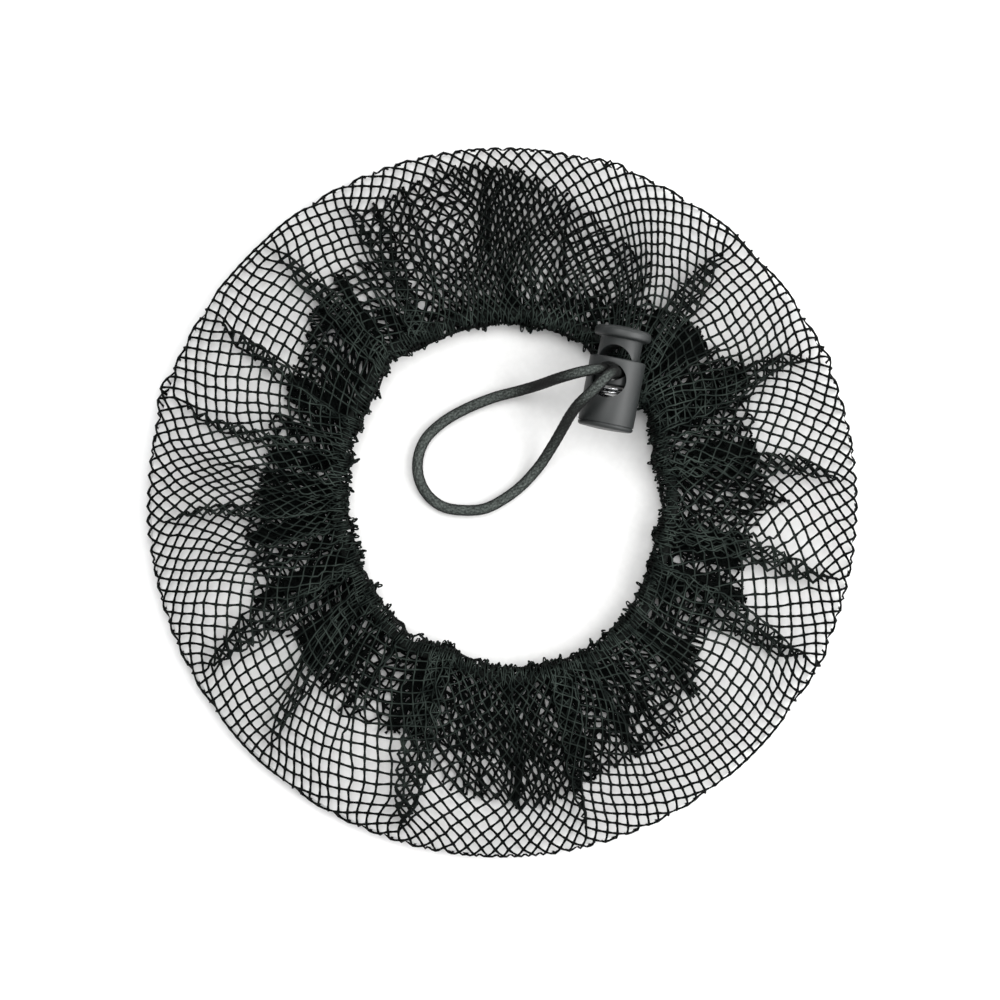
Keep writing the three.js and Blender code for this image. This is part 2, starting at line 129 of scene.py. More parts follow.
lockPlace = {
    "bottom": (21.8, 15.8, 15.0),
    "heading": 11,
    "roll": 15,
    "radius": 6.0,
    "length": 15.1,
    "holeAt": 10.2,
    "holeRadius": 3.8,
    "travel": 3.8,
}
turn = math.radians(lockPlace["heading"])
lean = math.radians(lockPlace["roll"])
lockAxis = Vector((math.sin(turn), math.cos(turn), 0))
lockSide = Vector((lockAxis.y, -lockAxis.x, 0))
lockUp = Vector((0, 0, math.cos(lean))) - lockSide * math.sin(lean)
lockAcross = lockUp.cross(lockAxis)
lockBottom = Vector(lockPlace["bottom"])


def inLock(across, up, along):
    return lockBottom + lockAcross * across + lockUp * up + lockAxis * along


# Cords: one braided cord, a ring in the hem and the free loop

cordLook = {
    "diameter": 2.4,
    "aside": 1.3,          # each end stands this far from the hole's middle
    "strands": 9,          # braid cells round the cord
    "cellLength": 1.0,
    "relief": 0.07,
    "flatness": 0.55,      # below 1 the strands' backs are flatter
    "loopStep": 0.2,
    "loopSides": 36,
    "ringStep": 0.4,
    "ringSides": 16,
}
loopRoute = [
    (20.3, 28.2, 23.1), (18.4, 27.9, 24.5), (16, 27.4, 24.6), (13.6, 26.8, 22.9),
    (11.3, 26.2, 19.4), (9.2, 25.6, 14.6), (6.6, 24.9, 9.4), (3, 24, 5.8),
    (-1.7, 22.8, 4.6), (-7.9, 20.3, 4.6), (-12.9, 17.4, 4.6), (-16.7, 13.7, 4.6),
    (-18.3, 9.5, 4.6), (-18.1, 5.3, 4.6), (-16.2, 1.6, 4.6), (-12.9, -0.9, 4.6),
    (-8.3, -1.7, 4.6), (-3.8, -1.3, 4.6), (0.4, 0.8, 4.6), (4.2, 3.7, 4.6),
    (7.9, 7.8, 5.6), (10.6, 11.9, 8.6), (12.9, 15.9, 13.4), (14.3, 18.4, 18),
    (15.8, 20.5, 22), (17.4, 22.1, 24.6), (19, 23.6, 25.7), (20.6, 25.2, 25.8),
    (22.1, 26.7, 24.9),
]


def throughPoints(points, step):
    # a smooth line through chosen points, in even steps
    p = np.array([tuple(q) for q in points], float)
    p = np.vstack([2 * p[0] - p[1], p, 2 * p[-1] - p[-2]])
    line = []
    for k in range(1, len(p) - 2):
        knots = np.sqrt(np.linalg.norm(np.diff(p[k - 1:k + 3], axis=0), axis=1))
        t0, t1 = 0.0, knots[0]
        t2, t3 = t1 + knots[1], t1 + knots[1] + knots[2]
        t = np.linspace(t1, t2, 24, endpoint=False)[:, None]
        a1 = (t1 - t) / (t1 - t0) * p[k - 1] + (t - t0) / (t1 - t0) * p[k]
        a2 = (t2 - t) / (t2 - t1) * p[k] + (t - t1) / (t2 - t1) * p[k + 1]
        a3 = (t3 - t) / (t3 - t2) * p[k + 1] + (t - t2) / (t3 - t2) * p[k + 2]
        b1 = (t2 - t) / (t2 - t0) * a1 + (t - t0) / (t2 - t0) * a2
        b2 = (t3 - t) / (t3 - t1) * a2 + (t - t1) / (t3 - t1) * a3
        line.append((t2 - t) / (t2 - t1) * b1 + (t - t1) / (t2 - t1) * b2)
    line = np.vstack([*line, p[-2]])
    along = np.concatenate([[0], np.cumsum(np.linalg.norm(np.diff(line, axis=0), axis=1))])
    count = int(round(along[-1] / step)) + 1
    even = np.linspace(0, along[-1], count)
    return np.stack([np.interp(even, along, line[:, k]) for k in range(3)], axis=1), even


def carriedFrames(line):
    # side directions that turn as little as they can along a line
    tangent = np.gradient(line, axis=0)
    tangent /= np.linalg.norm(tangent, axis=1)[:, None]
    side = np.zeros_like(line)
    first = np.cross(tangent[0], (0.3, 0.2, 1.0))
    side[0] = first / np.linalg.norm(first)
    for k in range(1, len(line)):
        kept = side[k - 1] - tangent[k] * np.dot(side[k - 1], tangent[k])
        side[k] = kept / np.linalg.norm(kept)
    return side, np.cross(tangent, side)


def ringAround(side, up, sides):
    # directions that stand out evenly round a line, at each of its points
    angle = np.linspace(0, 2 * np.pi, sides, endpoint=False)[:, None]
    return np.cos(angle) * side[..., None, :] + np.sin(angle) * up[..., None, :]


def tubeFaces(rings, sides):
    faces = []
    for k in range(rings - 1):
        for s in range(sides):
            n = (s + 1) % sides
            faces.append((k * sides + s, k * sides + n, (k + 1) * sides + n, (k + 1) * sides + s))
    faces.append(tuple(range(sides))[::-1])
    faces.append(tuple((rings - 1) * sides + s for s in range(sides)))
    return faces


def braidedCord(name, points, step, sides):
    line, along = throughPoints(points, step)
    side, up = carriedFrames(line)
    angle = np.linspace(0, 2 * np.pi, sides, endpoint=False)
    cells = cordLook["strands"] * angle[None, :] / (2 * np.pi)
    repeats = along[:, None] / cordLook["cellLength"]
    crossings = np.sin(np.pi * (cells + repeats / 2)) * np.sin(np.pi * (cells - repeats / 2))
    crown = np.abs(crossings) ** cordLook["flatness"]
    radius = cordLook["diameter"] / 2 - cordLook["relief"] * (1 - crown)
    shape = line[:, None, :] + radius[:, :, None] * ringAround(side, up, sides)
    cord = meshPiece(name, shape.reshape(-1, 3), tubeFaces(len(line), sides))
    addFloat(cord, "crown", crown.reshape(-1))
    return cord, line


def cordEnds(side, heights):
    # points up one side of the lock's hole
    along = lockPlace["holeAt"] + lockPlace["travel"] / 2
    return [inLock(side * cordLook["aside"], up, along) for up in heights]


def makeLoop():
    mouth = math.sqrt(lockPlace["radius"] ** 2 - cordLook["aside"] ** 2)
    points = cordEnds(1, [mouth, mouth + 1]) + [Vector(p) for p in loopRoute]
    points += cordEnds(-1, [mouth + 1, mouth])
    loop, line = braidedCord("cordLoop", points, cordLook["loopStep"], cordLook["loopSides"])
    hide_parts("cord_loop")
    return loop


cordLoop = makeLoop()


# The net: one flat round of knotted net, taken up round the card and gathered on top

netShape = {
    "pitch": 2.34,
    "thread": 0.225,       # radius between knots
    "knot": 0.33,          # radius at a knot
    "sides": 4,
    "unevenness": 0.13,    # how far single knots stray in the flat net
    "stretch": 0.6,        # how far whole stretches of it do
    "underHeight": 0.4,
    "cornerRadius": 76.6,
    "rimRadius": 77.15,
    "rimHeight": 3.7,
    "rimTopRadius": 76.5,
    "rimTopHeight": 4.85,
    "bandHeight": 5.2,
    "shoulderHeight": 7.2,
    "crestHeight": 8.3,
    "lipHeight": 5.6,
    "hemHeight": 4.15,
    "gatherRadius": 36.0,
    "shoulderRun": 5.5,    # the runs are counted out from the opening's edge
    "crestRun": 2.85,
    "lipRun": 0.9,
    "lipEndRun": 0.5,
    "hemRun": 2.2,
    "mouthAzimuth": 47.37,    # where the cord comes up to the lock
    "mouthHalf": 6.0,
    "mouthSetBack": 1.5,
    "mouthRise": 0.8,
}
# where along the flat net's radius each turn of its path comes
netTurns = {"flat": 73.0, "corner": 77.2, "rim": 78.2, "top": 79.2, "shoulder": 114.5,
            "crest": 118.0, "lip": 120.2, "lipEnd": 122.6, "hem": 125.5, "hemEnd": 170.0}

openingEdge = [(0, .95), (15, .93), (30, 1.0), (60, 1.06), (90, 1.07), (112, 1.04), (128, 1.07),
               (138, 1.0), (152, .96), (180, .93), (195, .91), (220, .93), (235, .96), (250, .92),
               (270, .98), (300, 1.01), (325, .98), (345, .93)]

# the cut edge of the turned-in hem, as its distance from the middle by azimuth
hemReach = [(0, 62), (-2, 55.4), (-10, 52.2), (-18, 54.3), (-22, 56.5), (-28, 52.8), (-33, 51.7),
            (-37, 53.7), (-42, 57), (-44, 59), (-48, 57.6), (-53, 62.4), (-60, 62.4), (-70, 62.4),
            (-77, 64.6), (-80, 66.3), (-85, 66.3), (-90, 64.6), (-99, 63.5), (-102, 62),
            (-105, 59), (-111, 52.2), (-116, 55.4), (-120, 55.9), (-130, 56.5), (-136, 55.4),
            (-140, 54.8), (-147, 52.2), (-149, 57), (-158, 58), (-163, 57.6), (-168, 54.8),
            (-172, 55.9), (180, 54), (175, 52.5), (168, 51), (160, 53), (155, 51.5),
            (148, 54), (143, 53.5), (140, 55.5), (137, 57), (132, 58.7), (125, 61.3), (120, 59.8),
            (117, 58.7), (116, 70), (110, 70.6), (105, 72.2), (98, 74.3), (90, 72.8), (84, 70.6),
            (80, 69), (76, 66.3), (72, 65.6), (67, 62.4), (60, 62), (55, 55.4), (50, 53.3),
            (42, 56), (38, 55.4), (33, 57.6), (30, 60.9), (22, 58), (15, 55.9), (10, 55.4), (5, 56.5)]
hemReach = sorted((a % 360, r) for a, r in hemReach)
# how far the doubled part of the hem reaches, and how much of the crowding goes into pleats: the
# rest draws the cells narrow, as at the top of the photo
doubleReach = [(0, 57), (20, 54), (50, 53), (66, 49), (80, 44.5), (100, 44), (116, 45), (128, 52),
               (145, 53), (160, 51), (180, 52), (200, 54), (222, 53), (240, 53), (260, 55), (280, 57),
               (300, 56), (318, 52), (335, 52), (350, 54)]
pleatedShare = [(0, 1), (45, .9), (60, .5), (74, .14), (108, .12), (122, .7), (140, 1), (240, 1),
                (262, .6), (285, .6), (305, 1)]

# The gathers are pleats that lie over each other, so that the cells keep their size. The first
# pleats start near the rim, at the photo's main folds: azimuth at the rim and at the cord, which
# way the pleat lies (1 with the azimuth), and how far it pushes the rim out.
mainPleats = [
    (3, 8, -1, 0), (24.5, 29, -1, .8), (49, 42, -1, .6), (72, 56, 1, 1.0), (88, 83, 1, 0),
    (117, 118, 1, 0), (132, 131, -1, 0), (147, 149, -1, 0), (162, 162, -1, 1.6), (174, 175, 1, 0),
    (183.5, 184.5, 1, .3), (210, 206, 1, 0), (228, 219, 1, 0), (253, 249, -1, 0), (284, 285, -1, 0),
    (303, 303, 1, 0), (333, 335, 1, .7), (347, 349, -1, 0),
]
# later pleats: how many, how far in they start, how much they crowd the net at the cord, and how
# high they rise over the skirt and over the hem, in shares of the first pleats' rise
laterPleats = [
    {"count": 35, "start": 0.22, "crowd": 1.36, "rise": 0.5},
    {"count": 84, "start": 0.5, "crowd": 1.34, "rise": 0.32},
]
# how high pleats rise in the skirt and in the hem, and the crowding that raises them fully
pleatHeight = {"skirt": 1.7, "hem": 0.55, "full": 0.5}
# how the gathers crumple: ripples along the net in degrees, the other values in millimetres
gatherLook = {
    "fadeIn": 8.0,            # the pleats grow over this much net inside the rim
    "sideRipple": 0.4,
    "ridgeRipple": 0.9,
    "hemSwing": 5.0,
    "hemSwingIn": 12.0,
    "hemDrift": 0.9,
    "hemSink": 0.6,
    "heightRipple": 0.3,
    "pushHalf": 3.5,          # half the degrees of rim that a main fold pushes out
    "pushRound": 0.8,         # how much of that push is left just over and under the rim
    "liftedEdge": 0.45,       # how far raised pleats draw back from the opening
    "overhang": 0.4,
    "bandRun": 5.0,
    "lowLip": 0.85,           # how much flatter the lip lies under the lock
    "lipMargin": 5.0,
}
# the space that the net leaves for the lock: round its axis, and from behind it to past its plunger
lockRoom = {"radius": 6.55, "from": -0.8, "to": 23.0}


def pleatRow(edges, leans):
    edges, leans = np.array(edges, float), np.array(leans, float)
    widths = (np.roll(edges, -1) - edges) % 360
    middles = (edges + widths / 2) % 360
    order = np.argsort(middles)
    return {"edges": edges, "leans": leans, "widths": widths,
            "middles": middles[order], "pulls": (-leans * widths)[order]}


def strayPleats(count):
    # pleats of uneven width, most of which lie the same way as their neighbours
    edges = (np.arange(count) + chance.uniform(-0.36, 0.36, count) + 0.4) * 360 / count
    return pleatRow(edges, np.where(np.sin(edges / 17 + chance.uniform(0, 6)) > -0.35, 1, -1))


pleatRows = [pleatRow([row[0] for row in mainPleats], [row[2] for row in mainPleats])]
pleatRows += [strayPleats(row["count"]) for row in laterPleats]
# the gathered edge has coarser teeth at the left than at the top
toothShare = [(0, .8), (60, .6), (115, .6), (140, 1.35), (205, 1.4), (240, 1.1), (280, .8), (320, 1.1)]
# the teeth stand in from the opening's edge, with points on its line between them
toothPoints = 340
toothAt = np.sort(chance.uniform(0, 360, toothPoints))
toothReach = chance.uniform(0.1, 1.6, toothPoints) * (np.arange(toothPoints) % 2)
toothReach = toothReach * round360(toothShare, toothAt)
sideWaves = crossWaves(9, (12, 60), 0.3)
ridgeWaves = crossWaves(7, (3, 16), 0.22)
hemWaves = crossWaves(5, (2, 9), 0.05)
heightWaves = crossWaves(9, (20, 90), 0.5)
driftWaves = crossWaves(10, (8, 50), 0.4)


def pleated(row, azimuth, crowd):
    # where pleats carry each azimuth, and how high it lies in them from 0 to 1, when the net is
    # crowd times too wide for its place: up one face of the pleat, and back under its ridge
    at = azimuth % 360
    k = (np.searchsorted(row["edges"], at, side="right") - 1) % len(row["edges"])
    width, lean = row["widths"][k], row["leans"][k]
    t = ((at - row["edges"][k]) % 360) / width
    t = np.where(lean > 0, t, 1 - t)
    ridge = (crowd + 1) / (2 * crowd)
    back = (crowd - 1) * ridge - (crowd + 1) * (t - ridge)
    carried = np.where(t < ridge, (crowd - 1) * t, back)
    pull = np.interp(at, row["middles"], row["pulls"], period=360)
    height = np.where(t < ridge, (t / ridge) ** 1.6, (1 - t) / np.maximum(1 - ridge, 1e-6))
    return azimuth + lean * width * carried + pull * (crowd - 1) / 2, np.clip(height, 0, 1)


def ceilingUnderLock(x, y):
    # the height under the lock that the net keeps below, and far above it elsewhere
    dx, dy = x - lockBottom.x, y - lockBottom.y
    along = dx * lockAxis.x + dy * lockAxis.y
    aside = dx * lockSide.x + dy * lockSide.y
    keep = lockRoom["radius"]
    under = lockBottom.z - np.sqrt(np.maximum(keep * keep - aside * aside, 0))
    free = (along < lockRoom["from"]) | (along > lockRoom["to"]) | (np.abs(aside) > keep)
    return np.where(free, 99.0, under)


def mouthShare(azimuth, half):
    # 1 where the cord comes up to the lock, and 0 away from it
    return 1 - smoothStep(half, half + 3, np.abs(wrapped(azimuth - netShape["mouthAzimuth"])))


def pleatedTurn(rho, azimuth, way):
    # the azimuth that the pleats carry a point of the flat net to, and how high it lies in them
    turns, look, gathered = netTurns, gatherLook, netShape["gatherRadius"]
    plainRadius = np.interp(
        rho,
        [0, turns["rim"], turns["crest"], turns["lipEnd"], turns["hemEnd"]],
        [0, netShape["rimRadius"], gathered + netShape["crestRun"], gathered,
         gathered + turns["hemEnd"] - turns["lipEnd"]],
    )
    share = round360(pleatedShare, azimuth)
    crowd = 1 + share * np.where(rho > turns["top"], rho / np.maximum(plainRadius, 1) - 1, 0)
    fade = smoothStep(turns["top"], turns["top"] + look["fadeIn"], rho)
    later = [1 + share * (row["crowd"] - 1) * smoothStep(row["start"], 1, way) for row in laterPleats]
    first = 1 + fade * (np.maximum(crowd / (later[0] * later[1]), 1) - 1)
    lean = np.interp(azimuth % 360, [row[0] for row in mainPleats],
                     [row[1] - row[0] for row in mainPleats], period=360)
    swingIn = smoothStep(turns["lipEnd"], turns["hem"] + look["hemSwingIn"], rho)
    swing = look["hemSwing"] * swingIn * rippled(hemWaves, rho, azimuth)
    turned, lift = pleated(pleatRows[0], azimuth + swing, first)
    turned = turned - 0.5 * swing
    lift = lift * np.clip((first - 1) / pleatHeight["full"], 0, 1)
    for row, spec, grown in zip(pleatRows[1:], laterPleats, later):
        turned, more = pleated(row, turned, grown)
        lift = lift + spec["rise"] * more * (grown - 1) / (spec["crowd"] - 1)
    turned = turned + lean * way
    turned = turned + look["sideRipple"] * smoothStep(0.2, 1, way) * rippled(sideWaves, rho, azimuth)
    turned = turned + look["ridgeRipple"] * smoothStep(0, 0.5, way) * rippled(ridgeWaves, rho, turned)
    return turned, lift


def netSection(rho, turned, lift):
    # radius and height along the net's path, from under the card to the end of the hem
    n, turns, look = netShape, netTurns, gatherLook
    push = sum(out * np.exp(-1.5 * (wrapped(turned - rim) / look["pushHalf"]) ** 2)
               for rim, _, _, out in mainPleats)
    tooth = np.interp(turned % 360, toothAt, toothReach, period=360)
    lip = 1 - look["lowLip"] * mouthShare(turned, n["mouthHalf"] + look["lipMargin"])
    opened = n["mouthSetBack"] * mouthShare(turned, n["mouthHalf"])
    edge = n["gatherRadius"] * round360(openingEdge, turned) + opened
    edge = edge + look["liftedEdge"] * lift - look["overhang"]
    crest = n["crestHeight"] + pleatHeight["skirt"] * lift * lip + n["mouthRise"] * (1 - lip)
    bandAt, band = turns["top"] + look["bandRun"], n["rimTopRadius"] - look["bandRun"]
    middleAt = (turns["top"] + turns["shoulder"]) / 2 + 2
    middleShare = (middleAt - bandAt) / (turns["shoulder"] - bandAt)
    shoulder = edge + n["shoulderRun"]
    # where along the flat net, and the radius and height there
    stations = [
        (0, 0, n["underHeight"]),
        (turns["flat"], turns["flat"], n["underHeight"]),
        (turns["corner"], n["cornerRadius"] + look["pushRound"] * push, n["underHeight"] + 0.15),
        (turns["rim"], n["rimRadius"] + push, n["rimHeight"]),
        (turns["top"], n["rimTopRadius"] + look["pushRound"] * push, n["rimTopHeight"]),
        (bandAt, band, n["bandHeight"]),
        (middleAt, band + (shoulder - band) * middleShare, n["bandHeight"] + 0.3),
        (turns["shoulder"], shoulder, n["shoulderHeight"]),
        (turns["crest"], edge + n["crestRun"], crest),
        (turns["lip"], edge + n["lipRun"] - 0.7 * tooth, crest - 0.9 * lip),
        (turns["lipEnd"], edge + n["lipEndRun"] - tooth, crest - (crest - n["lipHeight"]) * lip),
        (turns["hem"], edge + n["hemRun"], n["hemHeight"] + 0.1),
        (turns["hemEnd"], edge + n["hemRun"] + turns["hemEnd"] - turns["hem"], n["hemHeight"]),
    ]
    stationAt = [station[0] for station in stations]
    radius, height = np.zeros_like(rho), np.zeros_like(rho)
    # the turns are rounded over this much net, and less at the rim
    soft = np.where((rho > turns["flat"]) & (rho < turns["top"] + 3), 0.5, 1.2)
    for own, (_, r, z) in zip(np.eye(len(stations)), stations):
        weight = sum(np.interp(rho + d * soft, stationAt, own) for d in (-1, 0, 1)) / 3
        radius += weight * r
        height += weight * z
    return np.where(rho < turns["flat"] - 2, rho, radius), height


def netPlace(rho, azimuth):
    # the place in the gathered net of a point of the flat net, given in polar terms
    turns, look = netTurns, gatherLook
    way = np.clip((rho - turns["top"]) / (turns["crest"] - turns["top"]), 0, 1)
    turned, lift = pleatedTurn(rho, azimuth, way)
    radius, height = netSection(rho, turned, lift)
    onTop = smoothStep(turns["top"] + 2, turns["top"] + look["fadeIn"], rho) * (rho < turns["crest"])
    rise = onTop * (1 - smoothStep(turns["shoulder"], turns["crest"], rho))
    inHem = smoothStep(turns["lipEnd"], turns["hem"], rho)
    height = height + rise * pleatHeight["skirt"] * lift
    ripple = smoothStep(0.3, 1, way) * rippled(heightWaves, rho, azimuth)
    height = height + rise * look["heightRipple"] * ripple
    height = height + inHem * pleatHeight["hem"] * (lift - look["hemSink"])
    radius = radius + look["hemDrift"] * inHem * rippled(driftWaves, rho, azimuth)
    angle = np.radians(turned)
    x, y = radius * np.cos(angle), radius * np.sin(angle)
    height = np.where(rho > turns["top"], np.minimum(height, ceilingUnderLock(x, y)), height)
    return np.stack([x, y, height], axis=-1)


def flatGrid(turned=0.0):
    # knots of the flat net, with a little unevenness, out to the longest hem
    reach = int(netTurns["hemEnd"] / netShape["pitch"]) + 2
    steps = np.arange(-reach, reach + 1)
    i, j = np.meshgrid(steps, steps, indexing="ij")
    half = netShape["pitch"] / math.sqrt(2)
    x, y = (i - j) * half, (i + j) * half + 0.5 * half
    stray, stretch = netShape["unevenness"], netShape["stretch"]
    x = x + chance.normal(0, stray, x.shape) + stretch * np.sin(y / 23 + 1) * np.sin(x / 31)
    y = y + chance.normal(0, stray, y.shape) + stretch * np.sin(x / 27 + 2) * np.sin(y / 29)
    c, s = math.cos(math.radians(turned)), math.sin(math.radians(turned))
    return c * x - s * y, s * x + c * y


def threadRuns(x, y, keep):
    # threads along the first axis of a grid of knots: tubes swollen at each knot, made at once
    # for the whole grid, of which the links that keep() wants are kept
    sides = netShape["sides"]
    middleX, middleY = (x[1:] + x[:-1]) / 2, (y[1:] + y[:-1]) / 2
    rows = 2 * x.shape[0] - 1
    gridX, gridY = np.zeros((rows, x.shape[1])), np.zeros((rows, x.shape[1]))
    gridX[::2], gridX[1::2], gridY[::2], gridY[1::2] = x, middleX, y, middleY
    rho, azimuth = np.hypot(gridX, gridY), np.degrees(np.arctan2(gridY, gridX))
    place = netPlace(rho, azimuth)
    outward = netPlace(rho + 0.4, azimuth) - netPlace(np.maximum(rho - 0.4, 0), azimuth)
    tangent = np.gradient(place, axis=0)
    tangent /= np.linalg.norm(tangent, axis=2)[..., None] + 1e-9
    sideways = np.cross(outward, np.stack([-gridY, gridX, 0 * gridX], axis=-1))
    sideways -= tangent * (sideways * tangent).sum(axis=2)[..., None]
    sideways /= np.linalg.norm(sideways, axis=2)[..., None] + 1e-9
    other = np.cross(tangent, sideways)
    thick = np.where(np.arange(rows) % 2 == 0, netShape["knot"], netShape["thread"])[:, None]
    ring = ringAround(sideways, other, sides)
    shape = place[:, :, None, :] + thick[:, :, None, None] * ring
    wanted = keep(rho[1::2], azimuth[1::2], place[1::2])
    linked = np.repeat(wanted, 2, axis=0)
    number = np.arange(rows * x.shape[1] * sides).reshape(rows, x.shape[1], sides)
    after = np.roll(number, -1, axis=2)
    quads = np.stack([number[:-1], number[1:], after[1:], after[:-1]], axis=-1)[linked]
    faces = quads.reshape(-1, 4)
    before = np.zeros((rows, x.shape[1]), bool)
    behind = np.zeros((rows, x.shape[1]), bool)
    before[1:], behind[:-1] = linked, linked
    starts, ends = number[behind & ~before], number[before & ~behind]
    caps = [tuple(r[::-1]) for r in starts] + [tuple(r) for r in ends]
    return shape.reshape(-1, 3), faces, caps


def threadPiece(name, points, faces):
    piece = meshPiece(name, np.vstack(points), faces)
    print(name, sum(len(f) - 2 for f in faces), "triangles")
    return piece


def netPiece(name, node, knots, keep):
    # both ways of the threads, in the part of the net that keep() wants
    x, y = knots
    points, faces, base = [], [], 0
    for gridX, gridY in ((x, y), (x.T, y.T)):
        shape, quads, caps = threadRuns(gridX, gridY, keep)
        used = np.unique(np.concatenate([quads.reshape(-1), *[np.array(c) for c in caps]]))
        renumber = np.full(len(shape), -1)
        renumber[used] = np.arange(len(used)) + base
        points.append(shape[used])
        faces += [[int(renumber[v]) for v in f] for f in quads.tolist() + caps]
        base += len(used)
    piece = threadPiece(name, points, faces)
    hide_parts(node)
    return piece


def inFace(rho, azimuth, place):
    return rho < netTurns["corner"]


def inSkirt(rho, azimuth, place):
    return (rho >= netTurns["corner"]) & (rho < netTurns["lipEnd"])


def hemWithin(reach):
    def keep(rho, azimuth, place):
        radius = np.hypot(place[..., 0], place[..., 1])
        shown = np.degrees(np.arctan2(place[..., 1], place[..., 0]))
        netEnd = netTurns["hemEnd"] - 2
        return (rho >= netTurns["lipEnd"]) & (radius < round360(reach, shown)) & (rho < netEnd)
    return keep


plainKnots = flatGrid()
askewKnots = flatGrid(31)    # near the cord the hem is doubled, and the net lies askew there
netFace = netPiece("netFace", "net_face", plainKnots, inFace)
netSkirt = netPiece("netSkirt", "net_skirt", plainKnots, inSkirt)
netHem = netPiece("netHem", "net_hem", plainKnots, hemWithin(hemReach))
doubledHem = netPiece("doubledHem", "net_hem", askewKnots, hemWithin(doubleReach))


def addTube(points, faces, line, radius):
    # one more thread in a piece made of many
    side, up = carriedFrames(line)
    sides = netShape["sides"]
    base = sum(len(p) for p in points)
    points.append((line[:, None, :] + radius * ringAround(side, up, sides)).reshape(-1, 3))
    faces += [tuple(v + base for v in f) for f in tubeFaces(len(line), sides)]


edgeLook = {"loops": 620, "reach": (0.4, 1.7), "halfWidth": (0.14, 0.4), "tilt": (-0.9, 1.1),
            "skew": 0.8, "thread": 0.18, "points": 7}


def makeEdgeLoops():
    # slack loops of thread that stand out all along the gathered edge
    points, faces = [], []
    look = edgeLook
    t = np.linspace(-1, 1, look["points"])[:, None]
    out = np.sqrt(1 - 0.98 * t * t)
    for _ in range(look["loops"]):
        azimuth = chance.uniform(0, 360)
        reach = chance.uniform(*look["reach"])
        half = chance.uniform(*look["halfWidth"])
        tilt = chance.uniform(*look["tilt"])
        start = chance.uniform(netTurns["crest"], netTurns["lipEnd"])
        at = netPlace(np.array([start]), np.array([azimuth]))[0]
        inward = -np.array([at[0], at[1], 0]) / math.hypot(at[0], at[1])
        across = np.array([-inward[1], inward[0], 0])
        lean = chance.uniform(-look["skew"], look["skew"])
        line = at + across * (half * t + lean * out) + inward * reach * (out - 0.3)
        line = line + np.array([0, 0, 1]) * tilt * (out - 0.2)
        line[:, 2] = np.minimum(line[:, 2], ceilingUnderLock(line[:, 0], line[:, 1]))
        addTube(points, faces, line, look["thread"])
    return threadPiece("edgeLoops", points, faces)


edgeLoops = makeEdgeLoops()


# the strands start and end this far out from the opening's edge, and lie on what is near below
strandLook = {"count": 330, "thread": 0.16, "start": 0.2, "end": (1.8, 4.8), "stray": 0.3, "lean": 0.13,
              "near": 0.4, "rise": 0.25, "points": 8}


def makeDrawnStrands():
    # threads drawn tight side by side over the cord, laid on top of the gathers
    look, near = strandLook, strandLook["near"]
    gathers = np.linspace(netTurns["shoulder"] - 1, netTurns["lipEnd"], 24)
    rho, azimuth = np.meshgrid(gathers, np.arange(0, 360, 0.1))
    netX, netY, netZ = netPlace(rho, azimuth).reshape(-1, 3).T
    points, faces = [], []
    for k in range(look["count"]):
        middle = 360 * (k + chance.uniform(-look["stray"], look["stray"])) / look["count"]
        out = np.linspace(look["start"], chance.uniform(*look["end"]), look["points"])
        turned = np.radians(middle + chance.normal(0, look["lean"]) * (out - look["start"]))
        if mouthShare(middle, netShape["mouthHalf"] + gatherLook["lipMargin"]) > 0:
            continue
        radius = netShape["gatherRadius"] * round360(openingEdge, middle) + out
        x, y = radius * np.cos(turned), radius * np.sin(turned)
        below = [(np.abs(netX - px) < near) & (np.abs(netY - py) < near) for px, py in zip(x, y)]
        height = np.array([netZ[under].max(initial=5) for under in below])
        height[1:-1] = np.maximum(height[1:-1], (height[2:] + height[:-2]) / 2)
        height = np.minimum(height + look["rise"], ceilingUnderLock(x, y))
        addTube(points, faces, np.stack([x, y, height], axis=1), look["thread"])
    return threadPiece("drawnStrands", points, faces)


drawnStrands = makeDrawnStrands()


# the drawn cord's way: its heights in the lock's hole, and then its place in the hem
ringPlace = {"inHole": [5.6, 2, -2, -4.5, -6, -7.2], "run": 2.75, "height": 6.1, "points": 47,
             "startGap": 2, "endGap": 3}


def makeRingCord():
    # the drawn cord inside the hem, from the lock's hole all round and back
    place, half = ringPlace, netShape["mouthHalf"]
    first = netShape["mouthAzimuth"] - half - place["startGap"]
    last = netShape["mouthAzimuth"] + half + place["endGap"] - 360
    azimuth = np.linspace(first, last, place["points"])
    radius = netShape["gatherRadius"] * round360(openingEdge, azimuth) + place["run"]
    ring = [
        Vector((r * math.cos(math.radians(a)), r * math.sin(math.radians(a)), place["height"]))
        for r, a in zip(radius, azimuth)
    ]
    points = cordEnds(-1, place["inHole"]) + ring + cordEnds(1, place["inHole"][::-1])
    cord, _ = braidedCord("gatherCord", points, cordLook["ringStep"], cordLook["ringSides"])
    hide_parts("gather_cord")
    return cord


gatherCord = makeRingCord()


# Materials

def newMaterial(name, color, roughness, metallic=0.0, specular=0.5):
    material = bpy.data.materials.new(name)
    material.use_nodes = True
    shader = material.node_tree.nodes["Principled BSDF"]
    shader.inputs["Base Color"].default_value = (*color, 1)
    shader.inputs["Roughness"].default_value = roughness
    shader.inputs["Metallic"].default_value = metallic
    shader.inputs["Specular IOR Level"].default_value = specular
    return material, material.node_tree.nodes, material.node_tree.links, shader


def noiseOver(nodes, links, scale, detail=3):
    place = nodes.new("ShaderNodeTexCoord")
    noise = nodes.new("ShaderNodeTexNoise")
    noise.inputs["Scale"].default_value = scale
    noise.inputs["Detail"].default_value = detail
    links.new(place.outputs["Object"], noise.inputs["Vector"])
    return noise.outputs["Fac"]


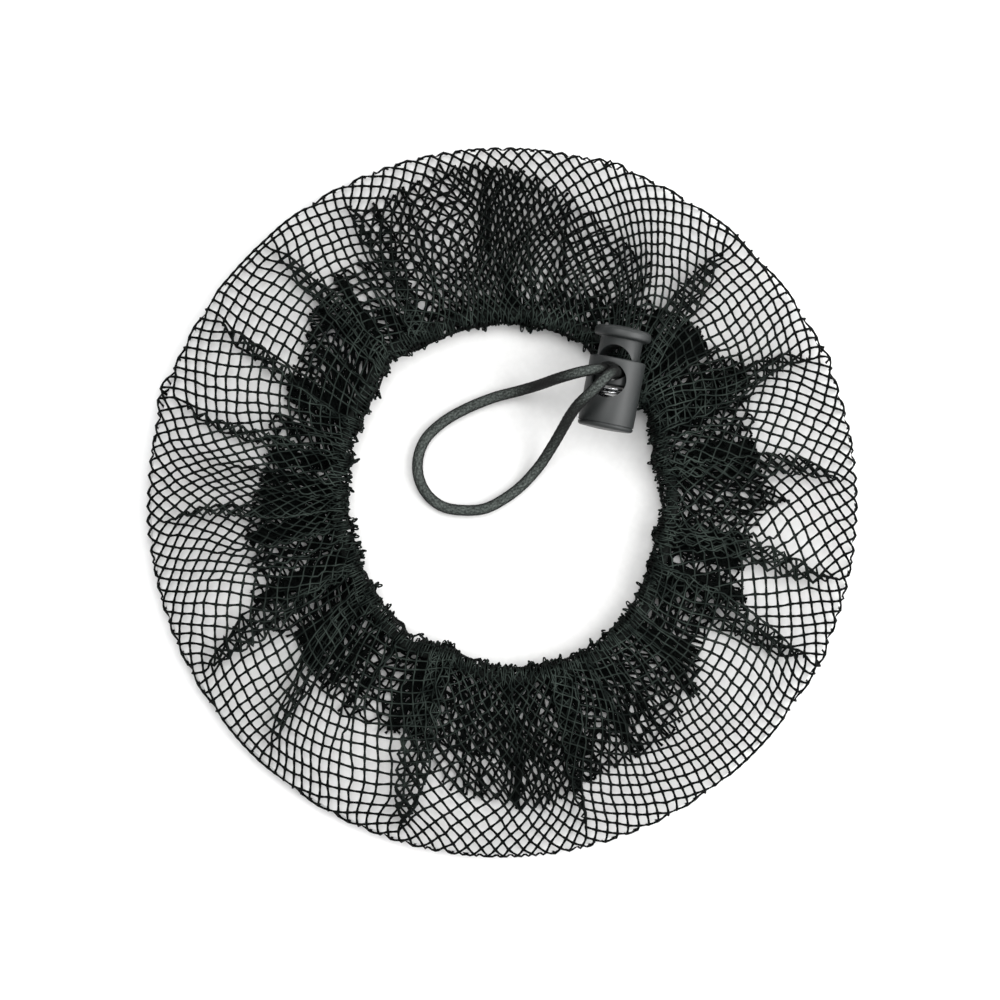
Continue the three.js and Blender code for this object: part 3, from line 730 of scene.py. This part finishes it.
def rampBetween(nodes, links, source, low, high, lowAt=0.3, highAt=0.7):
    ramp = nodes.new("ShaderNodeValToRGB")
    for element, color, at in zip(ramp.color_ramp.elements, (low, high), (lowAt, highAt)):
        element.position, element.color = at, (*color, 1)
    links.new(source, ramp.inputs["Fac"])
    return ramp.outputs["Color"]


def multiplied(nodes, links, first, second):
    # the product of two colours
    mix = nodes.new("ShaderNodeMix")
    mix.data_type, mix.blend_type = "RGBA", "MULTIPLY"
    mix.inputs["Factor"].default_value = 1
    links.new(first, mix.inputs[6])
    links.new(second, mix.inputs[7])
    return mix.outputs[2]


def paintedTopLight(nodes, links, side, lowAt, highAt):
    # painted top light: full colour on what faces up, and only the share called side, a painted shade,
    # on what faces aside or down
    shape = nodes.new("ShaderNodeNewGeometry")
    facing = nodes.new("ShaderNodeSeparateXYZ")
    links.new(shape.outputs["Normal"], facing.inputs["Vector"])
    return rampBetween(nodes, links, facing.outputs["Z"], (side,) * 3, (1, 1, 1), lowAt, highAt)


def bumpFrom(nodes, links, source, strength, distance, shader):
    bump = nodes.new("ShaderNodeBump")
    bump.inputs["Strength"].default_value = strength
    bump.inputs["Distance"].default_value = distance
    links.new(source, bump.inputs["Height"])
    links.new(bump.outputs["Normal"], shader.inputs["Normal"])


# the threads' colours, with painted light and shade: threads low in the net are painted deep black
# shade, raised ones get a lighter colour along their tops as painted light, and the share called side is
# the painted shade down their sides
threadShade = {"shadedBelowHeight": 5.4, "litAboveHeight": 8.6, "low": (0.0012, 0.0021, 0.0018),
               "dull": (0.008, 0.012, 0.0105), "litRidge": (0.04, 0.053, 0.046), "side": 0.06}


def threadMaterial(name, share=1.0):
    # painted light and shade: raised threads are painted lighter along their tops, with a random mottle
    # in how light, and low ones are painted deep black shade
    shades = threadShade
    material, nodes, links, shader = newMaterial(name, shades["low"], 0.6, specular=0.05)
    litRidge = tuple(share * c for c in shades["litRidge"])
    mottleAndRidgeLight = rampBetween(nodes, links, noiseOver(nodes, links, 260), shades["dull"], litRidge, 0.35, 0.68)
    litAlongTops = multiplied(nodes, links, mottleAndRidgeLight, paintedTopLight(nodes, links, shades["side"], 0.55, 0.99))
    place = nodes.new("ShaderNodeTexCoord")
    parts = nodes.new("ShaderNodeSeparateXYZ")
    links.new(place.outputs["Object"], parts.inputs["Vector"])
    height = nodes.new("ShaderNodeMapRange")
    height.inputs["From Min"].default_value = shades["shadedBelowHeight"] * mm
    height.inputs["From Max"].default_value = shades["litAboveHeight"] * mm
    links.new(parts.outputs["Z"], height.inputs["Value"])
    shadeByHeight = nodes.new("ShaderNodeMix")
    shadeByHeight.data_type = "RGBA"
    shadeByHeight.inputs[6].default_value = (*shades["low"], 1)
    links.new(height.outputs["Result"], shadeByHeight.inputs["Factor"])
    links.new(litAlongTops, shadeByHeight.inputs[7])
    links.new(shadeByHeight.outputs[2], shader.inputs["Base Color"])
    bumpFrom(nodes, links, noiseOver(nodes, links, 5200, 2), 0.5, 0.00008, shader)
    return material


def cordMaterial(name, low, high):
    # painted shade: dark between the strands and down the cord's sides; the specks of its pile are its
    # own tone
    material, nodes, links, shader = newMaterial(name, low, 0.75, specular=0.2)
    crown = nodes.new("ShaderNodeAttribute")
    crown.attribute_name = "crown"
    strands = rampBetween(nodes, links, crown.outputs["Fac"], low, high, 0.1, 0.9)
    shaded = multiplied(nodes, links, strands, paintedTopLight(nodes, links, 0.03, 0.42, 0.86))
    pile = noiseOver(nodes, links, 2400, 2)
    specks = rampBetween(nodes, links, pile, (0.35, 0.35, 0.35), (1.15, 1.15, 1.15), 0.38, 0.62)
    links.new(multiplied(nodes, links, shaded, specks), shader.inputs["Base Color"])
    bumpFrom(nodes, links, noiseOver(nodes, links, 6000, 2), 0.4, 0.00006, shader)
    return material


def paperMaterial():
    low, high = (0.725, 0.725, 0.72), (0.76, 0.76, 0.755)
    material, nodes, links, shader = newMaterial("whiteBoard", low, 0.9, specular=0.1)
    fibre = noiseOver(nodes, links, 700, 6)
    links.new(rampBetween(nodes, links, fibre, low, high), shader.inputs["Base Color"])
    bumpFrom(nodes, links, fibre, 0.25, 0.00004, shader)
    return material


def plasticMaterial(name, color, roughness):
    material, nodes, links, shader = newMaterial(name, color, roughness, specular=0.62)
    bumpFrom(nodes, links, noiseOver(nodes, links, 2600, 4), 0.18, 0.00003, shader)
    low, high = [tuple(c * share for c in color) for share in (0.85, 1.15)]
    smear = rampBetween(nodes, links, noiseOver(nodes, links, 240, 3), low, high)
    links.new(smear, shader.inputs["Base Color"])
    return material


def springMaterial():
    material, nodes, links, shader = newMaterial("springWire", (0.75, 0.76, 0.77), 0.22, metallic=1.0)
    bumpFrom(nodes, links, noiseOver(nodes, links, 3000, 2), 0.1, 0.00002, shader)
    return material


netThread = threadMaterial("blackNetThread")
for piece in (netFace, netSkirt, netHem, doubledHem):
    piece.data.materials.append(netThread)
# painted light: the edge loops and the drawn strands use copies of the thread's look whose lit tops are
# painted a little darker (0.9) and lighter (1.3)
edgeLoops.data.materials.append(threadMaterial("shadedGatheredThread", 0.9))
drawnStrands.data.materials.append(threadMaterial("litDrawnThread", 1.3))
loopBraid = cordMaterial("braidedCord", (0.03, 0.036, 0.033), (0.078, 0.09, 0.083))
# painted shade: the cord in the hem is the same cord as the loop, painted darker where it lies under the
# net
shadedHemBraid = cordMaterial("shadedCordInTheHem", (0.003, 0.005, 0.004), (0.014, 0.02, 0.017))
cordLoop.data.materials.append(loopBraid)
gatherCord.data.materials.append(shadedHemBraid)
print("net and cords dressed")


# Turned shapes

def arc(middle, radius, start, end, steps=5):
    # an arc of a profile, with its angles in degrees from the outward direction
    angles = np.radians(np.linspace(start, end, steps))
    return [(middle[0] + radius * math.cos(a), middle[1] + radius * math.sin(a)) for a in angles]


def turnedPoints(profile, sides):
    # rings of a turned shape about +Z, with a point at each end on the axis
    angle = np.linspace(0, 2 * np.pi, sides, endpoint=False)
    points, faces = [(0, 0, profile[0][1])], []
    for r, z in profile[1:-1]:
        points += [(r * math.cos(a), r * math.sin(a), z) for a in angle]
    points.append((0, 0, profile[-1][1]))
    rings = len(profile) - 2
    top, last = 1 + (rings - 1) * sides, len(points) - 1
    for s in range(sides):
        n = (s + 1) % sides
        faces.append((0, 1 + n, 1 + s))
        for k in range(rings - 1):
            a, b = 1 + k * sides, 1 + (k + 1) * sides
            faces.append((a + s, a + n, b + n, b + s))
        faces.append((top + s, top + n, last))
    return np.array(points, float), faces


# Card

cardShape = {"radius": 76.4, "bottom": 1.3, "top": 3.3, "round": 0.25, "sides": 180, "rings": (0.3, 0.7)}


def makeCard():
    c = cardShape
    radius, bottom, top, rounding = c["radius"], c["bottom"], c["top"], c["round"]
    lowerEdge = arc((radius - rounding, bottom + rounding), rounding, -90, 0, 4)
    upperEdge = arc((radius - rounding, top - rounding), rounding, 0, 90, 4)
    under = [(radius * share, bottom) for share in c["rings"]]
    over = [(radius * share, top) for share in c["rings"][::-1]]
    profile = [(0, bottom), *under, *lowerEdge, *upperEdge, *over, (0, top)]
    points, faces = turnedPoints(profile, c["sides"])
    card = meshPiece("displayCard", points, faces)
    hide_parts("display_card")
    card.data.materials.append(paperMaterial())


makeCard()


# Cord lock: drawn upright with its cross hole along +Y, then laid down in its place

lockLook = {
    "sides": 96,
    "holeSides": 72,
    "bore": 4.85,
    "floor": 1.6,
    "grooveAt": 0.95,
    "grooveDepth": 0.22,
    "shaft": 4.55,
    "foot": 9.2,
    "flange": 19.5,
    "flangeRadius": 6.1,
    "top": 21.7,
    "dome": 0.5,
    "holeEdge": 0.16,
}
lockTurn = Matrix((lockAcross, lockUp, lockAxis)).transposed().to_4x4()
lockMatrix = Matrix.Scale(mm, 4) @ Matrix.Translation(lockBottom) @ lockTurn


def looseSolid(name, points, faces):
    data = bpy.data.meshes.new(name)
    data.from_pydata(np.asarray(points).tolist(), [], faces)
    solid = bpy.data.objects.new(name, data)
    bpy.context.scene.collection.objects.link(solid)
    return solid


def lockPiece(name, profile, holeAt, body, node):
    # a turned piece with its cross hole cut and every edge eased
    solid = looseSolid(name + "Blank", *turnedPoints(profile, lockLook["sides"]))
    reach, width = 3 * lockPlace["radius"], lockPlace["holeRadius"]
    drill = [(0, -reach), (width, -reach), (width, reach), (0, reach)]
    points, faces = turnedPoints(drill, lockLook["holeSides"])
    points = points[:, [0, 2, 1]] * (1, 1, -1) + (0, 0, holeAt)    # laid along +Y
    hole = looseSolid(name + "Hole", points, faces)
    cut = solid.modifiers.new("crossHole", "BOOLEAN")
    cut.operation, cut.solver, cut.object = "DIFFERENCE", "EXACT", hole
    ease = solid.modifiers.new("easedEdge", "BEVEL")
    ease.width, ease.segments = lockLook["holeEdge"], 3
    ease.limit_method, ease.angle_limit = "ANGLE", math.radians(38)
    depsgraph = bpy.context.evaluated_depsgraph_get()
    data = bpy.data.meshes.new_from_object(solid.evaluated_get(depsgraph))
    data.transform(lockMatrix)
    data.polygons.foreach_set("use_smooth", [True] * len(data.polygons))
    data.set_sharp_from_angle(angle=math.radians(40))
    for scratch in (solid, hole):
        bpy.data.objects.remove(scratch)
    piece = bpy.data.objects.new(name, data)
    bpy.context.scene.collection.objects.link(piece)
    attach(piece, body)
    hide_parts(node)
    print(name, len(data.polygons), "faces")
    return piece


def makeBarrel():
    look, radius, length = lockLook, lockPlace["radius"], lockPlace["length"]
    at, floor, bore, groove = look["grooveAt"], look["floor"], look["bore"], radius - look["grooveDepth"]
    profile = [(0, -0.3), (2.2, -0.25), (4.2, -0.12), *arc((radius - 0.75, 0.68), 0.72, -90, -10),
               (radius - 0.02, at - 0.14), (groove, at - 0.05), (groove, at + 0.05), (radius, at + 0.14),
               *arc((radius - 0.35, length - 0.35), 0.35, 0, 90),
               *arc((bore + 0.3, length - 0.3), 0.3, 90, 180),
               (bore, floor + 0.5), (bore - 0.5, floor), (0, floor)]
    return lockPiece("toggleBarrel", profile, lockPlace["holeAt"], "net_on_card", "toggle_barrel")


def makePlunger():
    look = lockLook
    foot, shaft, flange, top = look["foot"], look["shaft"], look["flange"], look["top"]
    rim = look["flangeRadius"]
    profile = [(0, foot), (shaft - 0.3, foot), (shaft, foot + 0.3), (shaft, flange - 0.4),
               (shaft + 0.12, flange - 0.12), (shaft + 0.4, flange),
               *arc((rim - 0.6, flange + 0.6), 0.6, -90, 0), *arc((rim - 1.0, top - 1.0), 1.0, 0, 78, 7),
               (rim - 2.4, top + 0.2), (rim / 3, top + 0.42), (0, top + look["dome"])]
    holeAt = lockPlace["holeAt"] + lockPlace["travel"]
    return lockPiece("togglePlunger", profile, holeAt, "lock_plunger", "toggle_plunger")


springLook = {"wire": 0.28, "radius": 3.25, "turns": 5.5, "closedTurns": 0.9, "closedGap": 0.03,
              "steps": 26, "sides": 10, "from": 2.15, "to": 8.65}


def makeSpring():
    # a compression spring whose end turns lie flat, which the plunger's foot presses
    look = springLook
    count = int(look["turns"] * look["steps"]) + 1
    turn = np.linspace(0, look["turns"], count)
    closed = look["closedTurns"]
    rise = closed * (2 * look["wire"] + look["closedGap"])
    height = np.interp(turn, [0, closed, look["turns"] - closed, look["turns"]],
                       [look["from"], look["from"] + rise, look["to"] - rise, look["to"]])
    angle = 2 * np.pi * turn
    line = np.array([inLock(look["radius"] * math.cos(a), look["radius"] * math.sin(a), h)
                     for a, h in zip(angle, height)])
    side, up = carriedFrames(line)
    shape = line[:, None, :] + look["wire"] * ringAround(side, up, look["sides"])
    spring = meshPiece("toggleSpring", shape.reshape(-1, 3), tubeFaces(count, look["sides"]))
    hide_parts("toggle_spring")
    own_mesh(spring)
    spring.data.materials.append(springMaterial())


lockPlastic = plasticMaterial("blackLockPlastic", (0.009, 0.0115, 0.0115), 0.5)
for piece in (makeBarrel(), makePlunger()):
    piece.data.materials.append(lockPlastic)
makeSpring()
print("card and lock made")


# Floor, light and background

# floor and lamps in metres and watts; the room is bright overhead and dim low at its left
stageLook = {"half": 3.0, "color": (0.92, 0.92, 0.92), "roughness": 0.9}
lightPlan = {
    "room": {"toward": (0.5, -0.1, 0.86), "dim": 0.22, "bright": 0.95, "from": -0.35, "to": 0.85},
    "keyLight": {"across": 0.9, "place": (-0.1, 0.5, 1.1), "power": 8.0},
    "sideLight": {"across": 1.1, "place": (0.92, -0.05, 0.72), "power": 15.0},
}


def makeStage():
    half = stageLook["half"]
    data = bpy.data.meshes.new("floor")
    corners = [(-half, -half, 0), (half, -half, 0), (half, half, 0), (-half, half, 0)]
    data.from_pydata(corners, [], [(0, 1, 2, 3)])
    pale, _, _, _ = newMaterial("paleFloor", stageLook["color"], stageLook["roughness"], specular=0.1)
    data.materials.append(pale)
    floor = bpy.data.objects.new("floor", data)
    bpy.context.scene.collection.objects.link(floor)
    world = bpy.data.worlds.new("studio")
    world.use_nodes = True
    nodes, links = world.node_tree.nodes, world.node_tree.links
    nodes["Background"].inputs["Color"].default_value = (1, 1, 1, 1)
    around = nodes.new("ShaderNodeTexCoord")
    facing = nodes.new("ShaderNodeVectorMath")
    facing.operation = "DOT_PRODUCT"
    room = lightPlan["room"]
    facing.inputs[1].default_value = room["toward"]
    links.new(around.outputs["Generated"], facing.inputs[0])
    brightness = nodes.new("ShaderNodeMapRange")
    for socket, value in (("From Min", room["from"]), ("From Max", room["to"]),
                          ("To Min", room["dim"]), ("To Max", room["bright"])):
        brightness.inputs[socket].default_value = value
    links.new(facing.outputs["Value"], brightness.inputs["Value"])
    links.new(brightness.outputs["Result"], nodes["Background"].inputs["Strength"])
    bpy.context.scene.world = world
    for name in ("keyLight", "sideLight"):
        plan = lightPlan[name]
        lamp = bpy.data.lights.new(name, "AREA")
        lamp.shape, lamp.size, lamp.energy = "DISK", plan["across"], plan["power"]
        light = bpy.data.objects.new(name, lamp)
        light.location = plan["place"]
        light.rotation_euler = (-Vector(plan["place"])).to_track_quat("-Z", "Y").to_euler()
        bpy.context.scene.collection.objects.link(light)
    bpy.context.scene.view_settings.view_transform = "Standard"


makeStage()
print("stage made")
